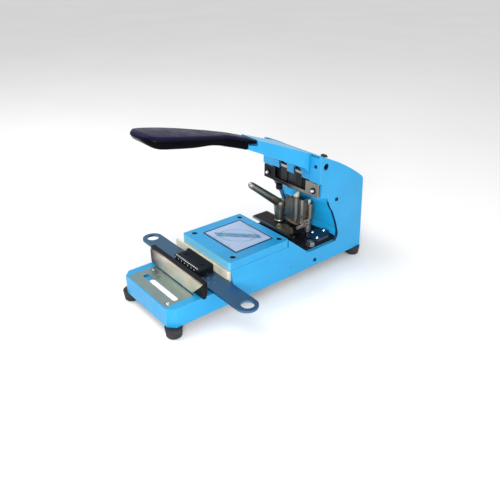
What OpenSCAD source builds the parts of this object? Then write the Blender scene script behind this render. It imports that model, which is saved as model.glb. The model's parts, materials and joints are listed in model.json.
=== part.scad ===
// Hand lever hot foil stamper with a sliding gauge bar, in millimetres.
// +X is the machine's right, +Y runs from the setting plate to the head, +Z is up.
// The origin lies on the table top under the middle of the machine.

/* [Base] */
// Length of the base casting, front to back
base_l = 295; // [294:0.5:296]
// Width of the base casting
base_w = 100; // [99.5:0.5:101]
// Height of the low front section's top above the table
front_z = 34.6; // [34.4:0.1:35]
// Height of the rubber feet
foot_h = 12; // [11.5:0.1:12]
// Wall thickness of the base casting
wall = 4; // [3:0.5:4.5]

/* [Deck] */
// Distance from the front to the deck cover
deck_y0 = 80.6; // [80.5:0.1:81]
// Distance from the front to the back of the deck cover
deck_y1 = 167.8; // [166:0.2:168]
// Height of the deck's top above the table
deck_z = 60.7; // [60:0.1:61.5]
// Width of the deck cover
deck_w = 92.6; // [91:0.2:93]

/* [Head] */
// Distance from the front to the pivot pin
pivot_y = 219; // [218.8:0.1:219.2]
// Height of the pivot pin above the table
pivot_z = 139; // [138.8:0.1:139.2]
// Thickness of the side plates
plate_t = 4; // [3.6:0.1:4.2]
// Width of the lever's hub and apron
lever_w = 65; // [64:0.5:65.4]
// Half width of each arch in the apron
arch_r = 7; // [6.9:0.1:7.2]
// Distance of each arch and clip from the middle
arch_x = 13; // [12.9:0.1:13.1]

/* [Grip] */
// Half width of the paddle at its front
grip_half = 24; // [22:0.5:25]
// Half width of the grip's waist
waist_half = 14; // [13.5:0.5:15]

/* [Press] */
// Travel of the press head
stroke = 4.5; // [4:0.1:4.5]
// Width of the press head
head_w = 32; // [30:0.5:32.5]
// Half distance between the guide posts
post_x = 15.5; // [15.4:0.1:15.6]
// Radius of the guide posts
post_r = 3.2; // [3:0.1:3.3]

/* [Gauge] */
// Overall length of the gauge bar
gauge_l = 213; // [206:1:214]
// Width of the gauge bar
gauge_w = 25; // [24:0.2:25.2]
// Diameter of the finger holes
finger_d = 14.6; // [13:0.2:15]

/* [Hidden] */
fine = 64;
gap = 0.06;
eps = 0.01;
plate_x = base_w / 2;
inner_x = plate_x - plate_t;
seat_y = 198.4;
rear_x = inner_x - 0.2;
bed_z = 38;
table_z0 = 41.1;
table_z1 = 44;
head_y0 = 214.5;
post_y = 229.5;
ear_z = 60;
bar_y = 209.5;
bar_z0 = 101.5;
bar_z1 = 118.7;
clamp_x = -25;
clamp_y = 217;
pad_x = 32.4;
pad_y = 231;
pad_screws_at = [[39.5, 222.5], [31, 243.5], [25.2, 229]];
gauge_y = 65.8;
gauge_z = 37.4;
gauge_t = 2.6;
foot_x = 45.5;
foot_y = 6.5;
corner = 7.8;
pin_y = 213.6;
pin_z = 126.4;
top_r = 310;
top_a0 = 21;
top_a1 = 36;

// Distance from the front of the base to the row's own Y
function fy(y) = y - base_l / 2;
function shift(points) = [for (p = points) [fy(p[0]), p[1]]];
// Arc of a falling line: starts at p, turns from slope a0 to a1 degrees below level
function fall_arc(p, r, a0, a1, n) =
    [for (i = [0 : n]) let (a = a0 + (a1 - a0) * i / n)
        [p[0] + r * (sin(a) - sin(a0)), p[1] + r * (cos(a) - cos(a0))]];
function last(v) = v[len(v) - 1];

// The head's top line, from behind the lever down to the back
top_line = fall_arc([213, 151.8], top_r, top_a0, top_a1, 14);
back_turn = fall_arc(last(top_line), 9, top_a1, 85.7, 8);
back_foot = [294.9, foot_h + 0.2];
throat_line = [[225, 98.6], [230.4, 86], [236.6, 77.2], [243.7, 61.4], [248.8, 46.5], [248.8, 40], [245, 34.3]];

// ---- shared shapes ----
module rounded_rect(w, l, r) {
    square([w - 2 * r, l], center = true);
    square([w, l - 2 * r], center = true);
    for (sx = [-1, 1], sy = [-1, 1])
        translate([sx * (w / 2 - r), sy * (l / 2 - r)]) circle(r, $fn = fine);
}
module chamfered_rect(w, l, c) {
    polygon([[-w / 2, c - l / 2], [c - w / 2, -l / 2], [w / 2 - c, -l / 2], [w / 2, c - l / 2],
        [w / 2, l / 2 - c], [w / 2 - c, l / 2], [c - w / 2, l / 2], [-w / 2, l / 2 - c]]);
}
// A slab from y0 to y1, measured from the front, centred across the machine
module slab(w, y0, y1, z0, z1, r) {
    translate([0, fy((y0 + y1) / 2), z0])
        linear_extrude(z1 - z0) rounded_rect(w, y1 - y0, r);
}
module box(x0, x1, y0, y1, z0, z1) {
    translate([x0, fy(y0), z0]) cube([x1 - x0, y1 - y0, z1 - z0]);
}
// Extrudes a (y, z) outline across the machine from x0 to x1
module across(x0, x1) {
    translate([x0, 0, 0]) rotate([90, 0, 90]) linear_extrude(x1 - x0) children();
}
module rod_x(x0, x1, y, z, r) {
    translate([x0, fy(y), z]) rotate([0, 90, 0]) cylinder(h = x1 - x0, r = r, $fn = fine);
}
module rod_y(y0, y1, x, z, r) {
    translate([x, fy(y0), z]) rotate([-90, 0, 0]) cylinder(h = y1 - y0, r = r, $fn = fine);
}
module rod_z(z0, z1, x, y, r) {
    translate([x, fy(y), z0]) cylinder(h = z1 - z0, r = r, $fn = fine);
}
// Screw with its head standing up from z = 0 and a cross recess
module screw(head_r, head_h, shank_r, length) {
    difference() {
        cylinder(h = head_h, r1 = head_r, r2 = head_r * 0.82, $fn = fine);
        for (a = [0, 90])
            rotate(a) translate([-head_r * 0.55, -0.35, head_h * 0.5]) cube([head_r * 1.1, 0.7, head_h]);
    }
    translate([0, 0, -length]) cylinder(h = length, r = shank_r, $fn = fine);
}
module each_foot() {
    for (sx = [-1, 1]) {
        translate([sx * foot_x, fy(foot_y), 0]) children();
        translate([sx * (foot_x - 2.1), fy(base_l - foot_y), 0]) children();
    }
}
module deck_screw_places() {
    for (sx = [-1, 1], y = [92.1, 160.5]) translate([sx * 37.2, fy(y), 0]) children();
}

// ---- base ----
module base_outline() {
    difference() {
        chamfered_rect(base_w, base_l, corner);
        for (sx = [-1, 1])
            translate([sx * plate_x - (sx > 0 ? plate_x - rear_x : 0), fy(seat_y)])
                square([plate_x - rear_x, base_l]);
    }
}
module base_casting() {
    color("deepskyblue") difference() {
        union() {
            translate([0, 0, foot_h]) linear_extrude(front_z - foot_h) base_outline();
            intersection() {
                across(-plate_x, plate_x) polygon(shift([[82.5, front_z - 1], [82.5, 50.9], [deck_y1, 50.9],
                    [deck_y1 + 0.2, 59.5], [195.5, 36.5], [195.5, front_z - 1]]));
                translate([0, fy(200), 0]) rotate([90, 0, 0]) linear_extrude(140)
                    polygon([[-plate_x, front_z - 1], [-plate_x, front_z + 1], [-47, 50.9], [-46.3, 60],
                        [46.3, 60], [47, 50.9], [plate_x, front_z + 1], [plate_x, front_z - 1]]);
            }
        }
        slab(base_w - 2 * wall, wall + 4, 194, foot_h - 1, front_z - wall, 5);
        slab(83, 199, base_l - 5, foot_h - 1, bed_z - 8, 4);
        across(-42.5, 42.5) polygon(shift([[87, 20], [87, 47], [deck_y1 - 2, 47], [190, 30], [190, 20]]));
        slab(88, 2.5, base_l - 3, foot_h - 1, foot_h + 1.6, 6);
        slab(79.4, 1.9, 38.1, front_z - 1.2, front_z + 1, 1.2);
        box(-37, 37, 14.8, 21.2, front_z - 2.4, front_z);
        each_foot() cylinder(h = 26, r = 2, $fn = fine);
        deck_screw_places() translate([0, 0, 30]) cylinder(h = 30, r = 1.6, $fn = fine);
        for (p = [[-34.6, 31.4], [35, 7.4]]) rod_z(24, front_z, p[0], p[1], 1.2);
        for (p = [[42.4, 208.5], [-40, 236]]) rod_z(24, bed_z, p[0], p[1], 2.05);
        rod_x(-60, 60, 209.6, 20, 1.6);
        rod_y(285, 300, 0, 24, 4.3);
    }
    color("deepskyblue") difference() {
        intersection() {
            each_foot() translate([0, 0, foot_h + 1.6]) cylinder(h = 14, r = 4.2, $fn = fine);
            translate([0, 0, foot_h]) linear_extrude(20) chamfered_rect(base_w - 2, base_l - 2, corner);
        }
        each_foot() cylinder(h = 24, r = 2, $fn = fine);
        for (x = [rear_x, -rear_x - 10]) box(x, x + 10, 270, 300, 10, 40);
    }
}
module bottom_plate() {
    color("dimgray") difference() {
        slab(87.6, 2.7, base_l - 3.2, foot_h, foot_h + 1.4, 5.8);
        each_foot() translate([0, 0, foot_h - 1]) cylinder(h = 4, r = 9, $fn = fine);
        for (i = [0 : 6]) box(-14, 14, 110 + 9 * i, 113 + 9 * i, foot_h - 1, foot_h + 3);
    }
}
module feet() {
    color("black") each_foot() difference() {
        union() {
            cylinder(h = 1.4, r1 = 7.2, r2 = 8.6, $fn = fine);
            translate([0, 0, 1.4]) cylinder(h = foot_h - 1.4, r1 = 8.6, r2 = 9.7, $fn = fine);
        }
        translate([0, 0, -1]) cylinder(h = 5, r = 4.2, $fn = fine);
        cylinder(h = foot_h + 1, r = 2.2, $fn = fine);
    }
}
module feet_screws() {
    color("silver") each_foot() {
        translate([0, 0, 2.2]) cylinder(h = 1.8, r = 3.8, $fn = fine);
        translate([0, 0, 4]) cylinder(h = 18, r = 1.95, $fn = fine);
    }
}

// ---- deck ----
module deck_cover() {
    color("deepskyblue") difference() {
        slab(deck_w, deck_y0, deck_y1, 50.9, deck_z, 3);
        slab(deck_w - 7, deck_y0 + 3.5, deck_y1 - 3.5, 50, deck_z - 3, 2);
        slab(65, 99.4, 157.2, deck_z - 0.5, deck_z + 1, 2);
        deck_screw_places() translate([0, 0, 50]) cylinder(h = 12, r = 1.9, $fn = fine);
        deck_screw_places() translate([0, 0, deck_z - 1.6]) cylinder(h = 3, r = 3.6, $fn = fine);
    }
    color("deepskyblue") deck_screw_places() difference() {
        translate([0, 0, 50.9]) cylinder(h = deck_z - 53.8, r = 4.5, $fn = fine);
        translate([0, 0, 50]) cylinder(h = 12, r = 1.9, $fn = fine);
    }
}
module deck_screws() {
    color("black") deck_screw_places() translate([0, 0, deck_z - 1.6]) screw(3.4, 1.5, 1.5, 24);
}
module label_plate() {
    color("lavender") slab(63.4, 100.2, 156.4, deck_z - 0.5, deck_z + 0.1, 1.5);
}

// ---- setting plate and gauge ----
module setting_plate() {
    color("slategray") difference() {
        slab(79, 2.1, 37.9, front_z - 1.2, front_z, 1);
        translate([2.5, 0, 0]) slab(66, 14.8, 21.2, front_z - 2, front_z + 1, 3.1);
        for (p = [[-34.6, 31.4], [35, 7.4]]) rod_z(front_z - 2, front_z + 1, p[0], p[1], 2.8);
    }
}
module slot_strip() {
    color("ivory") translate([9.3, 0, 0]) slab(52, 14.9, 21.1, front_z - 2.3, front_z - 0.5, 3);
}
module setting_screws() {
    color("silver") for (p = [[-34.6, 31.4], [35, 7.4]])
        translate([p[0], fy(p[1]), front_z - 1.15]) screw(2.7, 1.1, 1.1, 8);
}
module guide_strip() {
    color("burlywood") {
        box(-58, 45, 78.2, 80.4, gauge_z + gauge_t + 0.1, 49.6);
        box(-45, 45, 80.3, 82.5, front_z, 49.6);
    }
}
module gauge_block() {
    color("black") difference() {
        across(-29, 19.6) polygon(shift([[57.2, gauge_z + gauge_t], [77.5, gauge_z + gauge_t], [77.5, 49],
            [75.2, 49], [73.4, 47.2], [58.2, 47.2], [57.2, 46.2]]));
        for (x = [-20, 11]) rod_z(38, 50, x, 68, 1.6);
        for (x = [-20, 11]) rod_z(45.2, 50, x, 68, 2.8);
    }
}
module gauge_block_screws() {
    color("gray") for (x = [-20, 11]) translate([x, fy(68), 45.26]) screw(2.6, 1.2, 1.5, 4.8);
}
module gauge_bar() {
    color("steelblue") difference() {
        slab(gauge_l, gauge_y - gauge_w / 2, gauge_y + gauge_w / 2, gauge_z, gauge_z + gauge_t,
            gauge_w / 2 - eps);
        for (sx = [-1, 1]) rod_z(30, 50, sx * 94.6, gauge_y + 0.6, finger_d / 2);
    }
}
module fence_plate() {
    color("black") difference() {
        union() {
            across(-53, 53) polygon(shift([[40.6, front_z + gap], [43.6, front_z + gap], [46, 40],
                [46, 54.4], [40.6, 54.4]]));
        }
        for (x = [-40, 30]) rod_y(38, 60, x, 46, 1.6);
    }
}
module fence_channel() {
    color("darkkhaki") difference() {
        across(-49, 52.4) polygon(shift([[37.4, 36.4], [40.5, 36.4], [40.5, 53.4], [37.4, 53.4]]));
        box(-60, 60, 38.4, 42, 38, 52.2);
        translate([0, fy(42), 0]) rotate([90, 0, 0]) linear_extrude(10)
            polygon([[53.4, 52.2], [56, 30], [34, 30], [35.4, 35.4]]);
    }
    color("darkkhaki") for (x = [-40, 30]) difference() {
        box(x - 4, x + 4, 38.3, 40.5, 40, 50);
        rod_y(38, 50, x, 46, 1.6);
    }
}
module fence_screws() {
    color("silver") for (x = [-40, 30])
        translate([x, fy(46 + gap), 46]) rotate([-90, 0, 0]) screw(2.6, 1.4, 1.5, 7.6);
}
module gauge_runner() {
    color("gray") box(-40, 40, 57, 73, front_z, gauge_z - gap);
}

// ---- head housing ----
module side_outline() {
    polygon(shift(concat(
        [[213, 151.8]], top_line, back_turn,
        [back_foot, [seat_y + 0.2, foot_h + 0.2], [seat_y + 0.2, 34.2]],
        [for (i = [len(throat_line) - 1 : -1 : 0]) throat_line[i]],
        [[214, 101.4], [214, 119.2], [210, 119.2], [210, 149.5], [211, 151.4]])));
}
module side_holes() {
    rod_x(-80, 80, pivot_y, pivot_z, 4.25);
    for (p = [[241, 93], [209.6, 20]])
        rod_x(-80, 80, p[0], p[1], 1.7);
}
module side_plate(side) {
    x0 = side > 0 ? inner_x : -plate_x;
    flange = side > 0 ? lever_w / 2 + 0.5 : -plate_x;
    flange_end = side > 0 ? plate_x : -lever_w / 2 - 0.5;
    color("deepskyblue") difference() {
        union() {
            across(x0, x0 + plate_t) side_outline();
            box(flange, flange_end, 210, 213.4, 119.2, 149);
        }
        side_holes();
        rod_y(200, 220, side * 42, 139, 1.7);
        across(x0 - 1, x0 + plate_t + 1) polygon(shift([[209, 150], [212, 153], [209, 153]]));
    }
}
module side_plate_left() { side_plate(-1); }
module side_plate_right() { side_plate(1); }
module rear_cover() {
    outer = concat([[214, 151.0]], fall_arc([214, 151.0], top_r, top_a0, top_a1, 14));
    turn = fall_arc(last(outer), 8.6, top_a1, 85.7, 8);
    foot = [last(turn)[0] + 3.5, front_z + 0.2];
    skin = 1.6;
    inner = concat([[214, 151.0 - skin * 1.06]], fall_arc([214, 151.0 - skin * 1.06], top_r - skin, top_a0,
        top_a1, 14));
    inner_turn = fall_arc(last(inner), 7, top_a1, 85.7, 8);
    inner_foot = [foot[0] - skin, front_z + 0.2];
    color("deepskyblue") difference() {
        across(-rear_x + 0.1, rear_x - 0.1) polygon(shift(concat(outer, turn, [foot, inner_foot],
            [for (i = [len(inner_turn) - 1 : -1 : 0]) inner_turn[i]],
            [for (i = [len(inner) - 1 : -1 : 0]) inner[i]])));
        translate([38, fy(224), 140]) rotate([-21, 0, 0]) cylinder(h = 20, r = 1.8, $fn = fine);
        for (i = [-3 : 3]) box(i * 9 - 2, i * 9 + 2, 280, 300, 62, 88);
    }
}
module throat_wall() {
    color("deepskyblue") difference() {
        across(-43.6, 43.6) polygon(shift([
            [227, 99.4], [232.4, 87], [238.6, 78.1], [245.8, 62], [250.9, 46.9], [250.9, bed_z],
            [252.4, bed_z], [252.4, 47.2], [247.3, 62.5], [240, 79], [233.8, 87.8], [228.6, 99.4]]));
        box(-8, 8, 220, 245, 90, 102);
    }
}
module side_screws() {
    color("dimgray") for (sx = [-1, 1], p = [[241, 93], [209.6, 20]])
        translate([sx * (plate_x + gap), fy(p[0]), p[1]]) rotate([0, sx * 90, 0]) screw(2.5, 1, 1.5, 7.5);
    color("dimgray") for (sx = [-1, 1])
        translate([sx * 42, fy(210 - gap), 139]) rotate([90, 0, 0]) screw(2.2, 0.9, 1.5, 3);
}
module pivot_pin() {
    color("dimgray") difference() {
        rod_x(-plate_x + 1.2, plate_x - 1.2, pivot_y, pivot_z, 4.2);
        for (sx = [-1, 1]) translate([sx * (plate_x - 1.2), fy(pivot_y), pivot_z]) rotate([0, 90, 0])
            cylinder(h = 6, r = 2.3, center = true, $fn = 6);
    }
}
module pivot_spacers() {
    color("silver") for (sx = [-1, 1]) difference() {
        rod_x(sx > 0 ? lever_w / 2 + 0.3 : -inner_x + 0.1, sx > 0 ? inner_x - 0.1 : -lever_w / 2 - 0.3,
            pivot_y, pivot_z, 5.4);
        rod_x(-60, 60, pivot_y, pivot_z, 4.25);
    }
}

// ---- clip bar ----
module clip_bar() {
    color("darkolivegreen") difference() {
        union() {
            for (sx = [-1, 1]) box(sx * 37.4 - 10, sx * 37.4 + 10, bar_y, bar_y + 4, bar_z0, bar_z1);
            box(-47.4, 47.4, bar_y, bar_y + 2.2, bar_z0, bar_z0 + 3.8);
            for (sx = [-1, 1]) box(sx * 40.5 - 5.5, sx * 40.5 + 5.5, bar_y + 4, bar_y + 12, bar_z0 + 1, bar_z1 - 2);
        }
        for (sx = [-1, 1]) rod_y(200, 230, sx * 40.3, 109, 1.95);
    }
}
module clip_bar_washers() {
    color("gray") for (sx = [-1, 1]) difference() {
        rod_y(bar_y - 0.9, bar_y - gap, sx * 40.3, 109, 3.9);
        rod_y(200, 220, sx * 40.3, 109, 2.1);
    }
}
module clip_bar_screws() {
    color("silver") for (sx = [-1, 1])
        translate([sx * 40.3, fy(bar_y - 0.96), 109]) rotate([90, 0, 0]) screw(2.3, 1.5, 1.85, 11);
}
module bar_block() {
    color("dimgray") difference() {
        union() {
            box(-34.8, 34.8, bar_y + 4, bar_y + 8, bar_z0 - 3, bar_z1 - 0.5);
            rod_z(bar_z0 - 3, bar_z0 + 2, -25, bar_y + 6, 3);
        }
        for (sx = [-1, 1])
            box(sx * arch_x - arch_r, sx * arch_x + arch_r, bar_y + 3, bar_y + 9, 104.6, 125);
        rod_z(90, 112, -25, bar_y + 6, 1.05);
        box(-6.2, 6.2, bar_y + 3, bar_y + 9, 90, 130);
    }
}
module clip_brackets() {
    color("gray") for (sx = [-1, 1], e = [-6.8, 5.8])
        across(sx * arch_x + e, sx * arch_x + e + 1) difference() {
            polygon(shift([[214, 104.7], [217.4, 104.7], [217.4, 124], [215.6, 128.4], [212, 128.4],
                [211.4, 126], [212, 123.6], [214, 122]]));
            translate([fy(pin_y), pin_z]) circle(1.55, $fn = fine);
        }
    color("gray") for (sx = [-1, 1]) box(sx * arch_x - 6.8, sx * arch_x + 6.8, 216.4, 217.4, 104.7, 116);
}
module clip_pins() {
    color("silver") for (sx = [-1, 1]) rod_x(sx * arch_x - 6.8, sx * arch_x + 6.8, pin_y, pin_z, 1.5);
}
module spring_clip(side) {
    tongue = [[pin_y - 2, pin_z], [212.2, 120], [212.4, 110], [211.8, 106.4], [212.8, 105.4],
        [214.4, 108], [214.8, 121], [pin_y + 2, pin_z]];
    color("black") difference() {
        union() {
            across(side * arch_x - 5.6, side * arch_x + 5.6) polygon(shift(tongue));
            rod_x(side * arch_x - 5.6, side * arch_x + 5.6, pin_y, pin_z, 2.5);
        }
        rod_x(-40, 40, pin_y, pin_z, 1.55);
    }
}
module spring_clip_left() { spring_clip(-1); }
module spring_clip_right() { spring_clip(1); }
module thumb_screw() {
    translate([-25, fy(bar_y + 6), 0]) color("black") {
        translate([0, 0, 89]) cylinder(h = 1, r1 = 3.4, r2 = 4.2, $fn = fine);
        difference() {
            translate([0, 0, 90]) cylinder(h = 6, r = 4.2, $fn = fine);
            for (a = [0 : 30 : 330]) rotate(a) translate([4.6, 0, 89]) cylinder(h = 8, r = 0.8, $fn = 24);
        }
        translate([0, 0, 96]) cylinder(h = 14, r = 1, $fn = fine);
    }
}

// ---- bed and table ----
module bed_plate() {
    color("black") difference() {
        slab(91.2, 196, 252.2, front_z + 0.1, bed_z, 2);
        for (sx = [-1, 1]) rod_z(30, 40, sx * post_x, post_y, post_r + 0.03);
        rod_z(30, 40, clamp_x, clamp_y, 2.93);
        for (p = pad_screws_at) rod_z(30, 40, p[0], p[1], 1.25);
        for (p = [[42.4, 208.5], [-40, 236]]) rod_z(30, 40, p[0], p[1], 2.05);
    }
}
module table_rails() {
    color("gray") for (y = [201, 218.6]) difference() {
        box(-45, 19, y, y + 4, bed_z, table_z0 - gap);
        rod_z(30, 50, clamp_x, clamp_y, 4.6);
    }
}
module bed_bolts() {
    color("slategray") for (p = [[42.4, 208.5], [-40, 236]]) {
        translate([p[0], fy(p[1]), bed_z + 0.05]) cylinder(h = 1, r = 5.4, $fn = fine);
        translate([p[0], fy(p[1]), bed_z + 1]) rotate(14) cylinder(h = 4.4, r = 5.2, $fn = 6);
        rod_z(front_z - 6, bed_z + 1.2, p[0], p[1], 2);
        rod_z(bed_z + 5, bed_z + 6.6, p[0], p[1], 2);
    }
}
module guide_posts() {
    color("darkseagreen") for (sx = [-1, 1]) {
        rod_z(front_z + 0.2, 84.2, sx * post_x, post_y, post_r);
        rod_z(84.2, 85, sx * post_x, post_y, post_r - 0.6);
    }
}
module clamp_stud() {
    color("silver") rod_z(front_z + 0.2, 70, clamp_x, clamp_y, 2.9);
}
module work_table() {
    color("black") difference() {
        box(-58, 13, 199.9, 224, table_z0, table_z1);
        for (dx = [-6, 6]) rod_z(40, 46, clamp_x + dx, clamp_y, 3.4);
        box(clamp_x - 6, clamp_x + 6, clamp_y - 3.4, clamp_y + 3.4, 40, 46);
    }
}
module table_edge() {
    color("silver") box(-58, 13, 198.6, 199.9, table_z0, table_z1 - 0.4);
}
module work_stop() {
    color("sienna") translate([0, -base_l / 2, table_z1]) {
        linear_extrude(1.8) polygon([[-16.5, 207.5], [-11, 198], [13, 195.8], [15, 205], [8, 211], [-8, 213.4]]);
        linear_extrude(2.6) polygon([[-8, 209.8], [7.4, 207.6], [8, 211], [-8, 213.4]]);
        translate([-11, 203, 0]) cylinder(h = 3.2, r = 2.2, $fn = fine);
    }
}

// ---- press ----
module head_outline() {
    w = head_w / 2;
    polygon([[-w, fy(219)], [-w + 2, fy(217)], [w - 2, fy(217)], [w, fy(219)], [w, fy(225.6)], [-w, fy(225.6)]]);
}
module press_head() {
    color("rosybrown") difference() {
        union() {
            translate([0, 0, 54]) linear_extrude(32) head_outline();
            slab(43, 225.5, 234, ear_z, 80, 3);
            rod_z(58, 86, 3, 218.2, 5.3);
            rod_z(54, 58.1, 3, 218.2, 3.4);
        }
        for (sx = [-1, 1]) rod_z(40, 100, sx * post_x, post_y, post_r + 0.05);
        for (sx = [-1, 1]) rod_z(50, ear_z, sx * post_x, post_y, post_r + 2.2);
        rod_x(-30, 30, 221, 64, 3.25);
        rod_z(78, 90, 0, 222, 3);
    }
}
module plunger_button() {
    color("ivory") {
        rod_z(78.1, 86.1, 0, 222, 2.95);
        rod_z(86, 91, 0, 222, 3.9);
        translate([0, fy(222), 91]) sphere(3.9, $fn = fine);
    }
}
module die_holder() {
    color("lightgray") difference() {
        slab(26, 214.8, 225, 51.2, 54, 1);
        box(-9.1, 9.1, 210, 230, 51, 52.6);
    }
    color("lightgray") rod_y(212.8, 215, -4, 52.6, 1.3);
}
module die_clamp() {
    color("peru") difference() {
        union() {
            box(head_w / 2, head_w / 2 + 2.6, 217.6, 224.6, 49.8, 59);
            box(head_w / 2, head_w / 2 + 2.6, 209, 217.7, 49.8, 53);
        }
        rod_x(10, 20, 220.8, 55.4, 1.2);
    }
}
module die() {
    color("gold") union() {
        box(-9, 9, 216, 224, 50.2, 52.5);
        for (x = [-6, 0, 6]) rod_z(49.5, 50.3, x, 220, 1.9);
    }
}
module heater_cartridge() {
    color("silver") rod_x(-head_w / 2 - 0.6, head_w / 2 + 0.6, 221, 64, 3.2);
}
function coil_ring(t, pitch_h, turns, r, wire, sides) =
    [for (k = [0 : sides - 1]) let (a = 360 * turns * t, b = 360 * k / sides)
        [(r + wire * cos(b)) * cos(a), (r + wire * cos(b)) * sin(a), pitch_h * t + wire * sin(b)]];
module coil_spring(h, turns, r, wire) {
    steps = turns * 16;
    sides = 6;
    points = [for (i = [0 : steps]) each coil_ring(i / steps, h, turns, r, wire, sides)];
    walls = [for (i = [0 : steps - 1], k = [0 : sides - 1])
        [i * sides + k, (i + 1) * sides + k, (i + 1) * sides + (k + 1) % sides, i * sides + (k + 1) % sides]];
    ends = [[for (k = [0 : sides - 1]) k], [for (k = [sides - 1 : -1 : 0]) steps * sides + k]];
    polyhedron(points, concat(walls, ends));
}
module return_springs() {
    color("silver") for (sx = [-1, 1])
        translate([sx * post_x, fy(post_y), bed_z + 1]) coil_spring(ear_z - bed_z - 2, 7, post_r + 1.1, 0.55);
}

// ---- clamp and knobs ----
module clamp_lever() {
    color("tan") translate([clamp_x, fy(clamp_y), 0]) difference() {
        union() {
            translate([0, 0, table_z1 + 0.4]) cylinder(h = 1.6, r = 7.2, $fn = fine);
            translate([0, 0, table_z1 + 1.9]) cylinder(h = 24, r1 = 6.2, r2 = 5.6, $fn = fine);
            translate([0, 0, table_z1 + 25.8]) cylinder(h = 3.6, r1 = 5.6, r2 = 4.8, $fn = fine);
            translate([0, 0, 69]) rotate([52.3, 0, 0]) cylinder(h = 61, r1 = 4.6, r2 = 3.3, $fn = fine);
            translate([0, 0, 69]) rotate([52.3, 0, 0]) translate([0, 0, 61]) sphere(3.3, $fn = fine);
        }
        translate([0, 0, 40]) cylinder(h = 30.2, r = 2.95, $fn = fine);
        translate([0, 0, 71.2]) cylinder(h = 4, r = 3.2, $fn = fine);
    }
}
module clamp_screw() {
    color("silver") translate([clamp_x, fy(clamp_y), 71.3]) difference() {
        cylinder(h = 2.8, r = 3.1, $fn = fine);
        translate([0, 0, 1.2]) cylinder(h = 3, r = 1.5, $fn = 6);
    }
}
module bed_pad() {
    color("midnightblue") difference() {
        translate([pad_x, fy(pad_y), bed_z]) linear_extrude(4.4) chamfered_rect(22.8, 33, 8.5);
        for (p = pad_screws_at) rod_z(30, 50, p[0], p[1], 1.3);
    }
}
module pad_screws() {
    color("silver") for (p = pad_screws_at)
        translate([p[0], fy(p[1]), bed_z + 4.4 + gap]) screw(2, 0.9, 1.2, 7.4);
}
module stroke_knob() {
    color("black") translate([38, fy(224), 140]) rotate([-21, 0, 0]) {
        translate([0, 0, 4.2]) cylinder(h = 3, r = 1.7, $fn = fine);
        translate([0, 0, 7]) cylinder(h = 1.5, r = 4.2, $fn = fine);
        translate([0, 0, 8.5]) cylinder(h = 1.5, r1 = 4.2, r2 = 2.6, $fn = fine);
    }
}
module cord_gland() {
    color("black") difference() {
        union() {
            rod_y(295, 298.4, 0, 24, 6.2);
            rod_y(287.4, 295.1, 0, 24, 4.25);
        }
        rod_y(280, 300, 0, 24, 2.6);
    }
}

// ---- lever ----
lever_slope = 20.6;
function lever_top(y) = 152.2 + (211 - y) * tan(lever_slope);
apron_turn = [for (a = [24 : 6 : 90]) [200.5 + 16 * (sin(a) - sin(24)), 137.2 + 16 * (cos(a) - cos(24))]];
module lever_plan() {
    half = [[134, 13.4], [146.5, 14.8], [152, 16.2], [165, 19], [180, 22.8], [193, 27], [203, 31], [208, lever_w / 2],
        [236, lever_w / 2]];
    polygon(concat([for (p = half) [p[1], fy(p[0])]],
        [for (i = [len(half) - 1 : -1 : 0]) [-half[i][1], fy(half[i][0])]]));
}
module lever_arm() {
    color("deepskyblue") difference() {
        union() {
            intersection() {
                union() {
                    across(-40, 40) polygon(shift(concat(
                        [[146.5, lever_top(146.5)], [211, 152.2], [211.6, 149], [213.4, 146], [213.4, 120.4],
                         [210, 120.4]],
                        [for (i = [len(apron_turn) - 1 : -1 : 0]) apron_turn[i]],
                        [[153, 159], [134.5, 167.6], [134.5, 172.6], [146.5, 169.6]])));
                    rod_x(-lever_w / 2, lever_w / 2, pivot_y, pivot_z, 7.6);
                    across(-lever_w / 2, lever_w / 2) polygon(shift([[210, 149], [pivot_y, pivot_z + 7.4],
                        [pivot_y, pivot_z - 7.4], [210, 129]]));
                }
                translate([0, 0, 90]) linear_extrude(110) lever_plan();
            }
            across(-8, 8) polygon(shift([[146.6, 169.7], [66, 193.6], [66, 189.4], [138, 168.5], [150, 164]]));
        }
        rod_x(-60, 60, pivot_y, pivot_z, 5.8);
        across(-18, 18) polygon(shift([[176, 157.5], [209.4, 145.4], [209.4, 124], [206, 136.5], [200, 142.4]]));
        for (sx = [-1, 1]) {
            rod_y(190, 216, sx * arch_x, 127, arch_r);
            box(sx * arch_x - arch_r, sx * arch_x + arch_r, 190, 216, 110, 127);
            box(sx * arch_x - arch_r, sx * arch_x + arch_r, 209, 226, 119, 131.5);
        }
        box(-5.7, 5.7, 213.45, 232, 118, 150);
        box(-5.7, 5.7, 211.4, 232, 131.4, 150);
        for (y = [80, 112]) rod_z(170, 200, 0, y, 1.7);
    }
}
module lever_bushes() {
    color("peru") for (sx = [-1, 1]) difference() {
        rod_x(sx > 0 ? 5.8 : -lever_w / 2, sx > 0 ? lever_w / 2 : -5.8, pivot_y, pivot_z, 5.78);
        rod_x(-60, 60, pivot_y, pivot_z, 4.25);
    }
}
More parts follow.
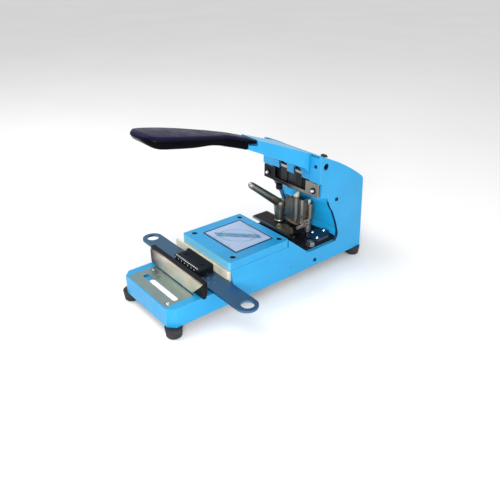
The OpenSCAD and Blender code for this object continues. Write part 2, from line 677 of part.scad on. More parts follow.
// The cam's lower edge lies further from the pin towards the front, so it drives the button down
module press_cam() {
    lobe = [for (a = [-13 : 1 : 9]) let (r = 43.6 + stroke * (3.6 - a) / 14)
        [pivot_y + r * sin(a), pivot_z - r * cos(a)]];
    color("slategray") across(-5.6, 5.6) difference() {
        union() {
            translate([fy(pivot_y), pivot_z]) circle(7.2, $fn = fine);
            polygon(shift(concat([[pivot_y + 7.1, pivot_z], [pivot_y - 4.6, pivot_z - 5],
                [pivot_y - 4.6, 99.8], [210, 99.4]], lobe)));
        }
        translate([fy(pivot_y), pivot_z]) circle(4.25, $fn = fine);
    }
}
grip_line = [[7.6, 205], [10.4, 207.2], [14, 207.4], [20, 206.2], [40, 202.8], [60, 199], [82, 194.4], [103, 189.8],
    [120, 185.2], [135, 180], [146.3, 175.8]];
grip_low = [[146.3, 170.6], [134, 173.6], [134, 166.8], [120, 171.6], [108, 175.6], [96, 180], [84, 183.2],
    [62, 186.4], [40, 190.2], [24, 193], [18.5, 194.5], [13, 198], [8.8, 202.6]];
module grip_plan() {
    tip = [[7.4, 5], [8.6, 10], [11, 14.6], [14.6, 19], [19, grip_half - 2], [25, grip_half - 0.2], [40, grip_half],
        [56, grip_half - 1], [70, 21], [84, 18.2], [96, 15.6], [106, waist_half], [124, waist_half],
        [146.3, waist_half + 1]];
    polygon(concat([for (p = tip) [p[1], fy(p[0])]],
        [for (i = [len(tip) - 1 : -1 : 0]) [-tip[i][1], fy(tip[i][0])]]));
}
module grip() {
    color("black") difference() {
        intersection() {
            across(-40, 40) polygon(shift(concat(grip_line, grip_low)));
            translate([0, 0, 150]) linear_extrude(80) grip_plan();
        }
        across(-8.1, 8.1) polygon(shift([[160, 165.9], [65.8, 193.8], [65.8, 189.2], [138, 168.2], [160, 160]]));
        for (y = [80, 112]) rod_z(150, 191.8 - (y - 80) * 0.27, 0, y, 1.75);
        for (y = [80, 112]) rod_z(150, 183.5 - (y - 80) * 0.27, 0, y, 3.2);
    }
}
module grip_screws() {
    color("silver") for (y = [80, 112])
        translate([0, fy(y), 183.4 - (y - 80) * 0.27]) rotate([180, 0, 0]) screw(3, 1.4, 1.65, 8);
}

base_casting();
bottom_plate();
feet();
feet_screws();
deck_cover();
deck_screws();
label_plate();
setting_plate();
slot_strip();
setting_screws();
gauge_runner();
guide_strip();
gauge_block();
gauge_block_screws();
side_plate_left();
side_plate_right();
rear_cover();
throat_wall();
side_screws();
pivot_pin();
pivot_spacers();
clip_bar();
clip_bar_washers();
clip_bar_screws();
bar_block();
clip_brackets();
clip_pins();
bed_plate();
table_rails();
bed_bolts();
guide_posts();
clamp_stud();
cord_gland();
lever_arm();
lever_bushes();
press_cam();
grip();
grip_screws();
press_head();
plunger_button();
die_holder();
die_clamp();
die();
heater_cartridge();
return_springs();
clamp_lever();
clamp_screw();
work_table();
table_edge();
work_stop();
gauge_bar();
fence_plate();
fence_channel();
fence_screws();
spring_clip_left();
spring_clip_right();
thumb_screw();
bed_pad();
pad_screws();
stroke_knob();
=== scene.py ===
"""Looks of the hot foil stamper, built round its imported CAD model. Metres, the CAD's own frame."""

import json
import math

import bmesh
import bpy
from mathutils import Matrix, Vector


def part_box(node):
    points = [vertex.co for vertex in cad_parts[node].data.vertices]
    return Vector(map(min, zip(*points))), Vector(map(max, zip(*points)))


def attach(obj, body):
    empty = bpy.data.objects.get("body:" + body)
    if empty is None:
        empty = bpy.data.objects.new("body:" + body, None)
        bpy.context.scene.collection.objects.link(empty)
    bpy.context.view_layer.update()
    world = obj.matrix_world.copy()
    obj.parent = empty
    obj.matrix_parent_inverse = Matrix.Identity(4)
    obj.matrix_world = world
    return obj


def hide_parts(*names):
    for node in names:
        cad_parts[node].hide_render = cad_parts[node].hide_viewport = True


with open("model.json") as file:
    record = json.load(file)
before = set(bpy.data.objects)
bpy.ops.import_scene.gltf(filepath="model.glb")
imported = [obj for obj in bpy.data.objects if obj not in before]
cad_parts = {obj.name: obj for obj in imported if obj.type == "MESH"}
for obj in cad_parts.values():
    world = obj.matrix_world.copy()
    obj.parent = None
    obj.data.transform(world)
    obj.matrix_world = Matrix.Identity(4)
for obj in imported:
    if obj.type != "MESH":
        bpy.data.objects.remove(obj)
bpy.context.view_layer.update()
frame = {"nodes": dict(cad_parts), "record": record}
NODES = frame["nodes"]
scene = bpy.context.scene
scene.view_settings.view_transform = "Standard"
MM = 0.001
COAT_ROUGHNESS = 0.12
ARCH_X = 0.013  # middle of each arch in the lever's apron
ARCH_Z = 0.127  # where the round top of each arch starts
ARCH_RIM = (0.00695, 0.00712)  # the painted shade inside each arch ends between these distances
THROAT_BACK_Y = 0.0545
THROAT_TOP_Z = 0.093
EYE_Z = 0.1246  # height of the spring straps' rolled eyes
EYE_RIM = (0.0014, 0.0019)
CAM_PAINT_Z = 0.1015  # the cam is dark above this
PANEL_BORDER = 0.0019


# ---------------------------------------------------------------- materials
def add(tree, kind, **values):
    n = tree.nodes.new(kind)
    for key, value in values.items():
        if key in n.inputs:
            n.inputs[key].default_value = value
        else:
            setattr(n, key, value)
    return n


def shade(colour, k):
    return (*[min(1.0, c * k) for c in colour[:3]], 1.0)


class Surface:
    """One procedural material: its Principled shader and the helpers that build its layers."""

    def __init__(self, name, roughness, metallic=0.0, coat=0.0, specular=0.5):
        self.material = bpy.data.materials.new(name)
        self.material.use_nodes = True
        self.tree = self.material.node_tree
        self.shader = self.tree.nodes["Principled BSDF"]
        self.shader.inputs["Metallic"].default_value = metallic
        self.shader.inputs["Roughness"].default_value = roughness
        self.shader.inputs["Specular IOR Level"].default_value = specular
        self.shader.inputs["Coat Weight"].default_value = coat
        self.shader.inputs["Coat Roughness"].default_value = COAT_ROUGHNESS
        self.coords = add(self.tree, "ShaderNodeTexCoord").outputs["Object"]
        self.last_normal = None

    def link(self, a, b):
        self.tree.links.new(a, b)

    def noise(self, scale, detail=4.0, rough=0.55, stretch=(1, 1, 1), shift=0.0):
        move = add(self.tree, "ShaderNodeMapping")
        move.inputs["Scale"].default_value = stretch
        move.inputs["Location"].default_value = (shift, shift * 0.7, shift * 1.3)
        self.link(self.coords, move.inputs["Vector"])
        n = add(self.tree, "ShaderNodeTexNoise", Scale=scale, Detail=detail, Roughness=rough)
        self.link(move.outputs["Vector"], n.inputs["Vector"])
        return n.outputs["Fac"]

    def ranged(self, value, lo, hi, to_lo, to_hi):
        n = add(self.tree, "ShaderNodeMapRange")
        for key, v in (("From Min", lo), ("From Max", hi), ("To Min", to_lo), ("To Max", to_hi)):
            n.inputs[key].default_value = v
        self.link(value, n.inputs["Value"])
        return n.outputs["Result"]

    def ramp(self, value, stops):
        n = add(self.tree, "ShaderNodeValToRGB")
        while len(n.color_ramp.elements) < len(stops):
            n.color_ramp.elements.new(0.5)
        for element, (at, colour) in zip(n.color_ramp.elements, stops):
            element.position = at
            element.color = (*colour[:3], 1.0)
        self.link(value, n.inputs["Fac"])
        return n.outputs["Color"]

    def mix(self, mask, a, b):
        n = add(self.tree, "ShaderNodeMix", data_type="RGBA")
        if isinstance(mask, float):
            n.inputs["Factor"].default_value = mask
        else:
            self.link(mask, n.inputs["Factor"])
        for socket, value in ((n.inputs["A"], a), (n.inputs["B"], b)):
            if isinstance(value, (tuple, list)):
                socket.default_value = (*value[:3], 1.0)
            else:
                self.link(value, socket)
        return n.outputs["Result"]

    def times(self, a, b):
        n = add(self.tree, "ShaderNodeMath", operation="MULTIPLY")
        for i, value in enumerate((a, b)):
            if isinstance(value, float):
                n.inputs[i].default_value = value
            else:
                self.link(value, n.inputs[i])
        return n.outputs[0]

    def calc(self, op, a, b=0.0, c=0.0):
        n = add(self.tree, "ShaderNodeMath", operation=op)
        for i, value in enumerate((a, b, c)):
            if isinstance(value, (int, float)):
                n.inputs[i].default_value = value
            else:
                self.link(value, n.inputs[i])
        return n.outputs[0]

    def distance(self, a, b):
        """Length of the vector (a, b)."""
        return self.calc("SQRT", self.calc("ADD", self.calc("POWER", a, 2.0), self.calc("POWER", b, 2.0)))

    def axes(self):
        n = add(self.tree, "ShaderNodeSeparateXYZ")
        self.link(self.coords, n.inputs[0])
        return n.outputs

    def facing(self, axis):
        """Component of the surface normal along 0, 1 or 2."""
        n = add(self.tree, "ShaderNodeSeparateXYZ")
        self.link(add(self.tree, "ShaderNodeNewGeometry").outputs["Normal"], n.inputs[0])
        return n.outputs[axis]

    def edges(self, radius, sharp=0.9):
        """1 along convex and concave edges, 0 on open faces."""
        bevel = add(self.tree, "ShaderNodeBevel", samples=4, Radius=radius)
        geometry = add(self.tree, "ShaderNodeNewGeometry")
        dot = add(self.tree, "ShaderNodeVectorMath", operation="DOT_PRODUCT")
        self.link(bevel.outputs["Normal"], dot.inputs[0])
        self.link(geometry.outputs["Normal"], dot.inputs[1])
        return self.ranged(dot.outputs["Value"], sharp, 1.0, 1.0, 0.0)

    def bump(self, height, strength, distance):
        n = add(self.tree, "ShaderNodeBump", Strength=strength, Distance=distance)
        self.link(height, n.inputs["Height"])
        if self.last_normal is not None:
            self.link(self.last_normal, n.inputs["Normal"])
        self.last_normal = n.outputs["Normal"]
        self.link(self.last_normal, self.shader.inputs["Normal"])

    def colour(self, value):
        self.link(value, self.shader.inputs["Base Color"])

    def roughness(self, value):
        self.link(value, self.shader.inputs["Roughness"])


def paint(name, colour, light, rough=0.34, coat=0.08, wear=0.35, specular=0.38,
          front_highlight=0.0, arch_shade=False, shaded_cut_edge=False, top_highlight=0.0, dark_above=None):
    """Enamel: slow colour drift, orange peel, a few dust specks and paler worn edges."""
    s = Surface(name, rough, coat=coat, specular=specular)
    drift = s.noise(28.0, 3.0)
    base = s.ramp(drift, [(0.3, shade(colour, 0.95)), (0.7, shade(colour, 1.05))])
    # painted highlight: faces that turn upwards are mixed towards the light colour
    if top_highlight:
        base = s.mix(s.ranged(s.facing(2), 0.55, 0.9, 0.0, top_highlight), base, light)
    if dark_above:
        base = s.mix(s.calc("GREATER_THAN", s.axes()[2], dark_above), base, (0.016, 0.016, 0.02))
    # painted highlight: faces turned to the front are mixed towards the light colour, like a reflection on
    # the lip
    if front_highlight:
        front = s.ranged(s.facing(1), -0.95, -0.25, front_highlight, 0.0)
        base = s.mix(front, base, light)
    worn = s.times(s.edges(0.0011), s.ranged(s.noise(260.0, 5.0, shift=3.1), 0.42, 0.62, 0.2, wear))
    base = s.mix(worn, base, light)
    specks = s.ranged(s.noise(1500.0, 2.0, shift=5.0), 0.70, 0.74, 0.0, 0.22)
    base = s.mix(specks, base, shade(colour, 0.6))
    # painted shade: the enamel inside each arch is darkened almost to black
    if arch_shade:
        x, _, z = s.axes()
        side = s.calc("SUBTRACT", s.calc("ABSOLUTE", x), ARCH_X)
        above = s.calc("MAXIMUM", s.calc("SUBTRACT", z, ARCH_Z), 0.0)
        far = s.distance(s.calc("ABSOLUTE", side), above)
        base = s.mix(s.ranged(far, *ARCH_RIM, 1.0, 0.0), base, (0.004, 0.006, 0.010))
    # painted shade: front-facing cut edges behind the throat's front and below its top are darkened to navy
    if shaded_cut_edge:
        _, y, z = s.axes()
        behind, below = s.calc("GREATER_THAN", y, THROAT_BACK_Y), s.calc("LESS_THAN", z, THROAT_TOP_Z)
        inside = s.calc("MULTIPLY", behind, below)
        front = s.ranged(s.facing(1), -0.6, -0.35, 1.0, 0.0)
        base = s.mix(s.calc("MULTIPLY", inside, front), base, (0.006, 0.03, 0.09))
    s.colour(base)
    s.roughness(s.ranged(s.noise(70.0, 5.0, shift=1.7), 0.3, 0.7, rough * 0.8, rough * 1.3))
    s.bump(s.noise(650.0, 2.0, 0.4), 0.07, 0.0002)
    s.bump(s.noise(90.0, 2.0, shift=8.0), 0.03, 0.0006)
    return s.material


def metal(name, colour, rough=0.3, grain=(1, 60, 60), scale=60.0, tint=None, bump=0.06, dark_left=None):
    """Machined or brushed metal: long grain, patchy sheen, bright edges."""
    s = Surface(name, rough, metallic=1.0)
    patch = s.noise(38.0, 3.0, shift=2.2)
    base = s.ramp(patch, [(0.3, shade(tint or colour, 0.92)), (0.7, shade(colour, 1.05))])
    lines = s.noise(scale, 6.0, 0.7, stretch=grain, shift=4.4)
    base = s.mix(s.ranged(lines, 0.35, 0.65, 0.0, 0.22), base, shade(colour, 0.74))
    if dark_left:
        lo, hi, dark = dark_left
        base = s.mix(s.ranged(s.axes()[0], lo, hi, 1.0, 0.0), base, dark)
    s.colour(s.mix(s.times(s.edges(0.0006), 0.5), base, shade(colour, 1.5)))
    s.roughness(s.ranged(s.noise(150.0, 5.0, shift=6.0), 0.3, 0.7, rough * 0.8, rough * 1.3))
    s.bump(lines, bump, 0.00012)
    return s.material


def plastic(name, colour, rough, coat=0.0, grain=1400.0, strength=0.12):
    """Moulded plastic or rubber: fine texture, faint handling marks."""
    s = Surface(name, rough, coat=coat)
    drift = s.noise(45.0, 3.0)
    base = s.ramp(drift, [(0.3, shade(colour, 0.8)), (0.7, shade(colour, 1.25))])
    s.colour(s.mix(s.times(s.edges(0.0008), 0.3), base, shade(colour, 2.2)))
    s.roughness(s.ranged(s.noise(120.0, 6.0, shift=3.0), 0.3, 0.7, rough * 0.7, rough * 1.5))
    s.bump(s.noise(grain, 3.0), strength, 0.00012)
    return s.material


def moulded_grip():
    """Glossy black moulding with a painted violet highlight on faces that turn upwards; the sides stay near
    black.
    """
    s = Surface("grip_black", 0.24, coat=0.0, specular=0.03)
    # painted light: the upward-facing mask lightens the top faces to violet
    up = s.ranged(s.facing(2), 0.15, 0.95, 0.0, 1.0)
    drift = s.ranged(s.noise(30.0, 3.0), 0.3, 0.7, 0.75, 1.0)
    base = s.mix(s.times(up, drift), (0.0012, 0.001, 0.002), (0.012, 0.013, 0.045))
    marks = s.ranged(s.noise(420.0, 6.0, 0.7, shift=2.0), 0.66, 0.74, 0.0, 0.12)
    s.colour(s.mix(marks, base, (0.03, 0.03, 0.06)))
    s.roughness(s.ranged(s.noise(90.0, 6.0, shift=3.0), 0.3, 0.7, 0.2, 0.38))
    s.bump(s.noise(900.0, 3.0), 0.015, 0.0001)
    return s.material


def strap_metal(name, eye_height):
    """Blackened spring strap with a painted warm highlight across its rolled eye."""
    s = Surface(name, 0.34, specular=0.3)
    # painted highlight: a warm, bright, partly metallic band at the eye's height, broken up by noise
    away = s.calc("ABSOLUTE", s.calc("SUBTRACT", s.axes()[2], eye_height))
    eye_highlight = s.ranged(away, *EYE_RIM, 1.0, 0.0)
    patchy_highlight = s.ranged(s.noise(300.0, 5.0, stretch=(0.3, 1, 1)), 0.3, 0.7, 0.75, 1.0)
    s.colour(s.mix(s.times(eye_highlight, patchy_highlight), (0.006, 0.006, 0.008), (0.62, 0.52, 0.44)))
    s.link(s.times(eye_highlight, 0.6), s.shader.inputs["Metallic"])
    s.roughness(s.ranged(s.noise(160.0, 5.0), 0.3, 0.7, 0.26, 0.42))
    s.bump(s.noise(900.0, 3.0), 0.05, 0.0001)
    return s.material


def printed_panel(lo, hi):
    """Plain information panel: navy border, an oval with a slanted band, rules. No words."""
    s = Surface("panel_print", 0.34, coat=0.15, specular=0.3)
    x, y, _ = s.axes()
    cx, cy = (lo[0] + hi[0]) / 2, (lo[1] + hi[1]) / 2
    hx, hy = (hi[0] - lo[0]) / 2, (hi[1] - lo[1]) / 2
    dx, dy = s.calc("SUBTRACT", x, cx), s.calc("SUBTRACT", y, cy)
    ax, ay = s.calc("ABSOLUTE", dx), s.calc("ABSOLUTE", dy)
    rim = s.calc("MAXIMUM", s.calc("SUBTRACT", ax, hx), s.calc("SUBTRACT", ay, hy))
    navy = (0.006, 0.035, 0.13)
    ground = s.ramp(s.noise(22.0, 3.0), [(0.3, (0.30, 0.42, 0.60)), (0.7, (0.40, 0.46, 0.62))])
    along = s.calc("MULTIPLY", s.calc("ADD", dx, dy), 0.7071)
    across = s.calc("MULTIPLY", s.calc("SUBTRACT", dy, dx), 0.7071)
    far = s.distance(s.calc("DIVIDE", along, hy * 0.80), s.calc("DIVIDE", across, hy * 0.52))
    ring = s.ranged(s.calc("ABSOLUTE", s.calc("SUBTRACT", far, 1.0)), 0.03, 0.07, 0.75, 0.0)
    base = s.mix(ring, ground, (0.13, 0.28, 0.42))
    lean = s.calc("ADD", along, s.calc("MULTIPLY", across, 0.5))
    band = s.calc("MULTIPLY", s.calc("LESS_THAN", s.calc("ABSOLUTE", across), hy * 0.17),
                  s.calc("LESS_THAN", s.calc("ABSOLUTE", lean), hy * 0.95))
    weave = s.calc("GREATER_THAN", s.noise(520.0, 2.0, stretch=(1, 1, 0.1), shift=9.0), 0.5)
    ink = s.calc("MULTIPLY", band, s.calc("MULTIPLY_ADD", weave, 0.45, 0.5))
    base = s.mix(ink, base, (0.015, 0.14, 0.26))
    from_rule = s.calc("SUBTRACT", s.calc("PINGPONG", ay, hy * 0.86), hy * 0.82)
    rules = s.calc("LESS_THAN", s.calc("ABSOLUTE", from_rule), 0.0006)
    broken = s.calc("GREATER_THAN", s.noise(900.0, 1.0, stretch=(1, 0.02, 1)), 0.47)
    reach = s.calc("MULTIPLY", 0.55, s.calc("LESS_THAN", ax, hx * 0.7))
    base = s.mix(s.calc("MULTIPLY", s.calc("MULTIPLY", rules, broken), reach), base, (0.12, 0.2, 0.3))
    s.colour(s.mix(s.calc("GREATER_THAN", rim, -PANEL_BORDER), base, navy))
    s.roughness(s.ranged(s.noise(140.0, 5.0, shift=4.0), 0.3, 0.7, 0.26, 0.44))
    s.bump(s.noise(800.0, 2.0), 0.02, 0.0001)
    return s.material


BLUE = (0.010, 0.278, 0.560)
PALE = (0.20, 0.56, 0.74)
NIGHT = (0.006, 0.006, 0.009)
M = {
    "body_paint": paint("sky_blue_enamel", BLUE, PALE),
    "bottom_sheet": paint("dark_powder_coat", (0.03, 0.03, 0.035), (0.2, 0.2, 0.2), rough=0.6, coat=0.0),
    "rubber": plastic("foot_rubber", (0.010, 0.010, 0.011), 0.62, grain=900.0, strength=0.3),
    "bright_screws": metal("bright_zinc", (0.80, 0.81, 0.82), rough=0.22, grain=(1, 1, 1), scale=500.0),
    "dark_screws": metal("black_oxide", (0.02, 0.035, 0.09), rough=0.38, grain=(1, 1, 1), scale=500.0),
    "label": printed_panel(*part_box("label_plate")),
    "setting_steel": metal("ground_steel", (0.30, 0.40, 0.39), rough=0.36, grain=(1, 40, 40)),
    "paper_strip": plastic("pale_strip", (0.86, 0.87, 0.84), 0.6, grain=600.0),
    "gauge_steel": metal("blued_steel", (0.075, 0.17, 0.29), rough=0.36, grain=(1, 40, 40)),
    "black_metal": paint("satin_black", NIGHT, (0.045, 0.045, 0.05), coat=0.0, specular=0.10),
    "brass_strip": plastic("cream_strip", (0.62, 0.56, 0.42), 0.42, coat=0.2, grain=700.0, strength=0.05),
    "bronze_steel": metal("warm_steel", (0.26, 0.23, 0.19), rough=0.34, grain=(60, 60, 1),
                          tint=(0.21, 0.18, 0.14)),
    "plain_steel": metal("plain_steel", (0.27, 0.27, 0.27), rough=0.32),
    "grip_plastic": moulded_grip(),
    "pad_blue": plastic("pad_navy", (0.004, 0.010, 0.030), 0.3, coat=0.2),
    "black_plastic": plastic("matte_black", (0.012, 0.012, 0.014), 0.4),
    "brass_part": metal("turned_brass", (0.86, 0.76, 0.55), rough=0.24, grain=(1, 1, 40),
                        tint=(0.74, 0.60, 0.36)),
    "spring_steel": metal("spring_wire", (0.20, 0.20, 0.21), rough=0.3, grain=(1, 1, 1), scale=700.0),
}
OWN = {
    "press_cam": paint("cam_enamel", BLUE, PALE, dark_above=CAM_PAINT_Z),
    # painted light: the throat wall's enamel is 1.5 times brighter than the body enamel, to stand in for
    # light
    "throat_wall": paint("throat_enamel_lit", shade(BLUE, 1.5), PALE),
    "deck_cover": paint("lid_enamel", BLUE, PALE, front_highlight=0.75),
    "clip_bar": metal("bar_steel", (0.36, 0.31, 0.25), rough=0.32, grain=(1, 40, 40),
                      dark_left=(-0.01, 0.022, (0.016, 0.016, 0.02))),
    "clip_bar_washers": metal("washer_steel", (0.045, 0.04, 0.035), rough=0.32, grain=(1, 40, 40),
                              dark_left=(-0.01, 0.022, (0.01, 0.01, 0.012))),
    "spring_clip_left": strap_metal("left_strap", EYE_Z),
    "spring_clip_right": strap_metal("right_strap", EYE_Z),
    "clip_brackets": paint("bracket_black", (0.02, 0.02, 0.024), (0.2, 0.2, 0.2), coat=0.0, specular=0.25),
    "lever_arm": paint("lever_enamel", BLUE, PALE, arch_shade=True, top_highlight=0.45),
    "guide_posts": metal("post_steel", (0.50, 0.52, 0.46), rough=0.26, grain=(1, 1, 30)),
    "heater_cartridge": metal("cartridge_steel", (0.20, 0.18, 0.16), rough=0.34, grain=(1, 1, 1),
                              scale=300.0),
    "die_clamp": metal("strap_bronze", (0.62, 0.50, 0.42), rough=0.34),
    "plunger_button": plastic("ivory_button", (0.62, 0.56, 0.42), 0.3, coat=0.3, grain=600.0, strength=0.03),
    "side_plate_left": paint("left_side_enamel", BLUE, PALE, shaded_cut_edge=True),
    "side_plate_right": paint("right_side_enamel", BLUE, PALE, shaded_cut_edge=True),
    "fence_channel": metal("channel_steel", (0.86, 0.78, 0.66), rough=0.46, grain=(1, 40, 40),
                           tint=(0.74, 0.64, 0.48), dark_left=(-0.046, -0.022, (0.03, 0.03, 0.05))),
}
slot_of = {p["node"]: p["material_slot"] for p in frame["record"]["subparts"]}
for name, obj in NODES.items():
    obj.data.materials.clear()
    obj.data.materials.append(OWN.get(name, M[slot_of[name]]))


# ---------------------------------------------------------------- shared modelling helpers
def soften(obj, width, segments=3, angle=32.0):
    """Rounded edges on a hard-edged mesh, with smooth shading across the rounds."""
    mod = obj.modifiers.new("round_edges", "BEVEL")
    mod.width = width
    mod.segments = segments
    mod.limit_method = "ANGLE"
    mod.angle_limit = math.radians(angle)
    mod.harden_normals = True
    for polygon in obj.data.polygons:
        polygon.use_smooth = True


# Width of the rounds in mm, for each node that differs from FINE_EDGE
FINE_EDGE = 0.15
EDGE = {
    "base_casting": 1.2, "deck_cover": 1.6, "side_plate_left": 0.9, "side_plate_right": 0.9,
    "rear_cover": 0.3,
    "throat_wall": 0.3, "feet": 0.6, "bottom_plate": 0.3, "guide_strip": 0.3, "gauge_bar": 0.35,
    "gauge_block": 0.35, "fence_plate": 0.45, "fence_channel": 0.25, "clip_bar": 0.4, "bar_block": 0.3,
    "press_head": 0.5, "work_table": 0.3, "work_stop": 0.3, "bed_pad": 0.5, "bed_plate": 0.35,
    "die_holder": 0.3, "die_clamp": 0.3, "press_cam": 0.4, "lever_arm": 0.6, "stroke_knob": 0.5,
    "thumb_screw": 0.2, "spring_clip_left": 0.3, "spring_clip_right": 0.3, "bed_bolts": 0.25,
}
for name, obj in NODES.items():
    if name not in ("return_springs", "label_plate"):
        soften(obj, EDGE.get(name, FINE_EDGE) * MM)


# ---------------------------------------------------------------- smooth moulded and forged pieces
# Lengths in mm. The grip's and the clamp's y is measured back from the front of the base.
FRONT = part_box("base_casting")[0][1] / MM
GRIP_FRONT = 7.6
GRIP_BODY = 126.2
GRIP_RINGS = 70
CLAMP_X = -25.0
CLAMP_Y = 217.0
CLAMP_Z = 69
CLAMP_TILT = math.radians(52.3)
CLAMP_SIDES = 64
FUSE_VOXEL = 0.4
BLOCK_TOP = 47.2
FACE_MARK_Z = 44.4


def smooth_curve(points):
    """Function through the points with no overshoot between them."""
    xs, ys = zip(*points)
    d = [(ys[i + 1] - ys[i]) / (xs[i + 1] - xs[i]) for i in range(len(xs) - 1)]
    m = [d[0]] + [0.0 if d[i - 1] * d[i] <= 0 else 2 * d[i - 1] * d[i] / (d[i - 1] + d[i])
                  for i in range(1, len(d))] + [d[-1]]

    def at(x):
        x = min(max(x, xs[0]), xs[-1])
        i = min(max(k for k in range(len(xs)) if xs[k] <= x), len(xs) - 2)
        h = xs[i + 1] - xs[i]
        t = (x - xs[i]) / h
        return ((2 * t**3 - 3 * t**2 + 1) * ys[i] + (t**3 - 2 * t**2 + t) * h * m[i]
                + (3 * t**2 - 2 * t**3) * ys[i + 1] + (t**3 - t**2) * h * m[i + 1])
    return at


def rounded_ring(y, half, low, high, corner, crown=0.0, steps=7):
    """Section across X at y: a rectangle with rounded corners and a slightly crowned top."""
    rx, rz = min(corner, half * 0.98), min(corner, (high - low) * 0.49)
    ring = []
    for cx, cz, a0 in ((half - rx, high - rz, 90), (half - rx, low + rz, 0),
                       (rx - half, low + rz, -90), (rx - half, high - rz, -180)):
        for i in range(steps + 1):
            a = math.radians(a0 - 90 * i / steps)
            x, z = cx + rx * math.cos(a), cz + rz * math.sin(a)
            if z > (low + high) / 2:
                z -= crown * (x / half) ** 2
            ring.append((x * MM, (y + FRONT) * MM, z * MM))
    return ring


def skin(bm, rings):
    """Quads between successive rings, with both ends closed."""
    rows = [[bm.verts.new(p) for p in ring] for ring in rings]
    n = len(rows[0])
    for a, b in zip(rows, rows[1:]):
        for k in range(n):
            bm.faces.new((a[k], a[(k + 1) % n], b[(k + 1) % n], b[k]))
    bm.faces.new(rows[0])
    bm.faces.new(list(reversed(rows[-1])))


def keep(name, bm, material, body, *stands_for):
    """The finished mesh as a smooth piece that rides on body and may stand for CAD nodes."""
    bmesh.ops.recalc_face_normals(bm, faces=bm.faces)
    mesh = bpy.data.meshes.new(name)
    bm.to_mesh(mesh)
    for polygon in mesh.polygons:
        polygon.use_smooth = True
    obj = bpy.data.objects.new(name, mesh)
    scene.collection.objects.link(obj)
    mesh.materials.append(material)
    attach(obj, body)
    if stands_for:
        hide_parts(*stands_for)
    return obj


def make_grip():
    """Paddle grip: a palm that narrows to a neck, then a thinner tongue on the lever."""
    top = smooth_curve([(GRIP_FRONT, 205.2), (10.4, 207.1), (14, 207.3), (20, 206.2), (40, 202.8),
                        (60, 199), (82, 194.4), (103, 189.8), (120, 185.2), (135, 180), (146.3, 175.8)])
    low = smooth_curve([(GRIP_FRONT, 204.2), (8.8, 202.6), (13, 198), (18.5, 194.5), (24, 193),
                        (40, 190.2), (62, 186.4), (84, 183.2), (96, 180), (108, 175.6), (120, 171.6),
                        (134, 166.8)])
    half = smooth_curve([(GRIP_FRONT, 5.6), (8.6, 10), (11, 14.6), (14.6, 19), (19, 22), (25, 23.8),
                         (40, 24), (56, 23), (70, 21), (84, 18.2), (96, 15.6), (106, 13), (124, 12.6),
                         (146.3, 13.4)])
    rings = []
    for i in range(GRIP_RINGS):
        y = GRIP_FRONT + GRIP_BODY * (i / (GRIP_RINGS - 1)) ** 1.35
        rings.append(rounded_ring(y, half(y), low(y), top(y), 4.6, crown=0.7))
    for y, drop in ((134.0, 6.8), (138, 5.9), (144, 4.4), (145.8, 4.2), (146.3, 3.6)):
        shrink = 0.5 if y > 146 else 0.0
        rings.append(rounded_ring(y, half(y) - shrink, top(y) - drop, top(y) - shrink, 2.0, crown=0.5))
    bm = bmesh.new()
    skin(bm, rings)
    keep("grip_shell", bm, M["grip_plastic"], "lever", "grip")


def make_clamp_lever():
    """Forged hub and arm, fused and smoothed where they meet."""
    x0, y0 = CLAMP_X, CLAMP_Y + FRONT
    turns = [2 * math.pi * k / CLAMP_SIDES for k in range(CLAMP_SIDES)]
    bm = bmesh.new()
    hub = [(44.4, 4.4), (44.5, 6.3), (45.6, 6.5), (46.6, 5.7), (54, 6.3), (64, 7.5), (69, 8.1), (72, 7.9),
           (73.2, 6.9), (73.3, 5.0), (72.2, 4.6)]
    skin(bm, [[((x0 + r * math.cos(a)) * MM, (y0 + r * math.sin(a)) * MM, z * MM) for a in turns]
              for z, r in hub])
    along = Vector((0, -math.sin(CLAMP_TILT), math.cos(CLAMP_TILT)))
    side, up = Vector((1, 0, 0)), Vector((0, math.cos(CLAMP_TILT), math.sin(CLAMP_TILT)))
    start = Vector((x0, y0, CLAMP_Z))
    arm = [(0.5, 5.6), (10, 5.5), (30, 5.0), (56, 4.4), (60, 4.3), (62.4, 3.6), (63.8, 2.4), (64.4, 0.7)]
    skin(bm, [[(start + along * d + (side * math.cos(a) + up * math.sin(a)) * r) * MM for a in turns]
              for d, r in arm])
    bronze = metal("forged_bronze", (0.40, 0.36, 0.29), rough=0.36, grain=(1, 1, 1), scale=260.0)
    obj = keep("clamp_forging", bm, bronze, "clamp", "clamp_lever")
    fuse = obj.modifiers.new("fuse", "REMESH")
    fuse.mode = "VOXEL"
    fuse.voxel_size = FUSE_VOXEL * MM
    fuse.use_smooth_shade = True
    blend = obj.modifiers.new("blend", "SMOOTH")
    blend.factor = 0.5
    blend.iterations = 8


def slab_marks(name, places, size, body, material):
    """A row of thin raised marks, each a small slab with a chamfered top."""
    bm = bmesh.new()
    for x, y, z, grow in places:
        w, l, t = size[0] / 2, size[1] * grow / 2, size[2]
        rings = []
        for dz, inset in ((0.0, 0.0), (t * 0.6, 0.0), (t, 0.06)):
            rings.append([((x + sx * (w - inset)) * MM, (y + sy * (l - inset)) * MM, (z + dz) * MM)
                          for sx, sy in ((-1, -1), (1, -1), (1, 1), (-1, 1))])
        skin(bm, rings)
    obj = keep(name, bm, material, body)
    for polygon in obj.data.polygons:
        polygon.use_smooth = False


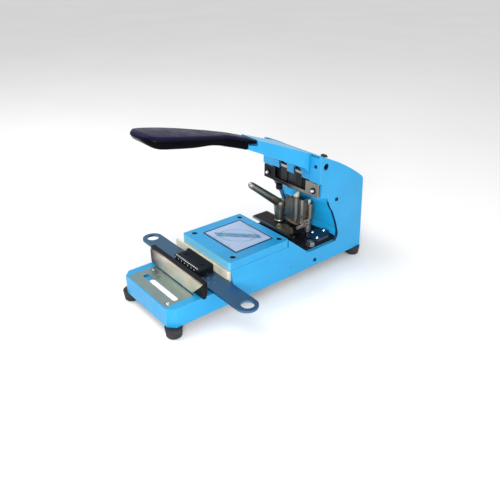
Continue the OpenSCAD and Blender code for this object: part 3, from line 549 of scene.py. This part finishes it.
make_grip()
make_clamp_lever()
ink = plastic("scale_ink", (0.80, 0.80, 0.78), 0.5, grain=700.0)
faint = plastic("etched_line", (0.24, 0.36, 0.46), 0.5, grain=700.0)
(block_lo, _), (rule_lo, rule_hi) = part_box("gauge_block"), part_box("gauge_bar")
across_block = [block_lo[0] / MM + 2 + 3.2 * i for i in range(14)]
slab_marks("scale_marks", [(x, block_lo[1] / MM + 2.1, BLOCK_TOP, 1.0) for x in across_block],
           (1.1, 2.0, 0.08), "gauge", ink)
slab_marks("face_marks", [(x, block_lo[1] / MM, FACE_MARK_Z, 1.0) for x in across_block[::2]],
           (1.6, 0.16, 1.8), "gauge", ink)
slab_marks("bar_marks", [(12 + 4.0 * i, rule_lo[1] / MM + 6 + 5 * (i % 3), rule_hi[2] / MM,
                          1.0 if i % 4 else 1.6) for i in range(8)],
           (0.5, 1.8, 0.04), "gauge", faint)


# ---------------------------------------------------------------- floor, light, camera
def make_floor():
    bm = bmesh.new()
    bmesh.ops.create_grid(bm, x_segments=2, y_segments=2, size=6.0)
    mesh = bpy.data.meshes.new("floor")
    bm.to_mesh(mesh)
    floor = bpy.data.objects.new("floor", mesh)
    scene.collection.objects.link(floor)
    s = Surface("floor_paper", 0.9, specular=0.1)
    s.colour(s.ramp(s.noise(3.0, 2.0), [(0.2, (0.86, 0.86, 0.86)), (0.8, (0.9, 0.9, 0.9))]))
    mesh.materials.append(s.material)


def area(name, where, towards, size, power, colour=(1, 1, 1)):
    data = bpy.data.lights.new(name, "AREA")
    data.shape = "RECTANGLE"
    data.size, data.size_y = size
    data.energy = power
    data.color = colour
    lamp = bpy.data.objects.new(name, data)
    lamp.location = where
    lamp.rotation_euler = (Vector(towards) - Vector(where)).to_track_quat("-Z", "Y").to_euler()
    scene.collection.objects.link(lamp)


WORLD_STRENGTH = 0.74
CAMERA_AT = (0.4450, -0.3644, 0.3541)
LENS = 38.556
make_floor()
world = bpy.data.worlds.new("studio")
world.use_nodes = True
world.node_tree.nodes["Background"].inputs["Color"].default_value = (1.0, 1.0, 1.0, 1.0)
world.node_tree.nodes["Background"].inputs["Strength"].default_value = WORLD_STRENGTH
scene.world = world
area("key", (-0.45, -0.45, 1.1), (0, 0, 0.08), (0.7, 0.7), 7.5)
area("fill", (1.1, 0.1, 0.5), (0, 0, 0.08), (0.8, 0.8), 2.4)
area("front", (0.60, -0.55, 0.34), (0, 0.08, 0.09), (0.4, 0.3), 3.2)
area("throat", (0.40, -0.36, 0.22), (0.03, 0.09, 0.075), (0.10, 0.10), 0.9)

AZIMUTH, ELEVATION = math.radians(50.737), math.radians(29.093)
camera_data = bpy.data.cameras.new("camera")
camera_data.sensor_width = 36.0
camera_data.lens = LENS
camera_data.clip_start = 0.01
camera = bpy.data.objects.new("camera", camera_data)
camera.location = CAMERA_AT
toward = Vector((-math.sin(AZIMUTH) * math.cos(ELEVATION), math.cos(AZIMUTH) * math.cos(ELEVATION),
                 -math.sin(ELEVATION)))
camera.rotation_euler = toward.to_track_quat("-Z", "Y").to_euler()
scene.collection.objects.link(camera)
scene.camera = camera

bpy.context.view_layer.update()
